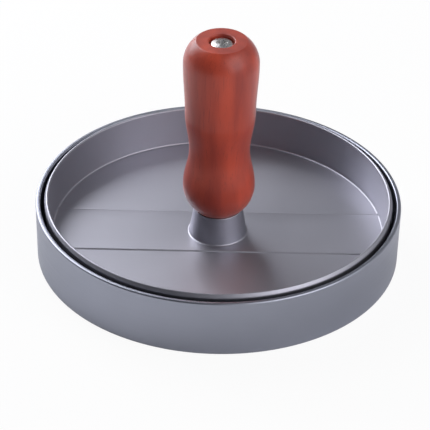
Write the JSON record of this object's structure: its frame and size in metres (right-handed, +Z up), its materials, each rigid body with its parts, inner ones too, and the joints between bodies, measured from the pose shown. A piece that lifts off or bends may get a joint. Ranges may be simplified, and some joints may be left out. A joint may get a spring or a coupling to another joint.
{
  "type": "burger press",
  "caption": "Round aluminium burger press: a shallow mould, and a ribbed press plate that lifts out by a turned wooden handle held by a long screw.",
  "frame": {"origin": "centre of the mould's flat underside, on the surface that the press stands on", "axes": "+Z up along the mould's and the handle's axis; +X along the ribs and grooves of the press plate"},
  "size_m": [0.12, 0.12, 0.08],
  "materials": {
    "mould_metal": "satin, finely turned",
    "plate_metal": "satin",
    "handle_wood": "red-brown stain under satin lacquer",
    "screw_steel": "bright plated"
  },
  "bodies": {
    "mould": {"mould": "mould_metal"},
    "press": {"press_plate": "plate_metal", "handle": "handle_wood", "handle_screw": "screw_steel"}
  },
  "joints": [
    {"name": "press_lift", "type": "slide", "parent": "mould", "child": "press", "axis": [0, 0, 1], "range_m": [0, 0.05]}
  ]
}
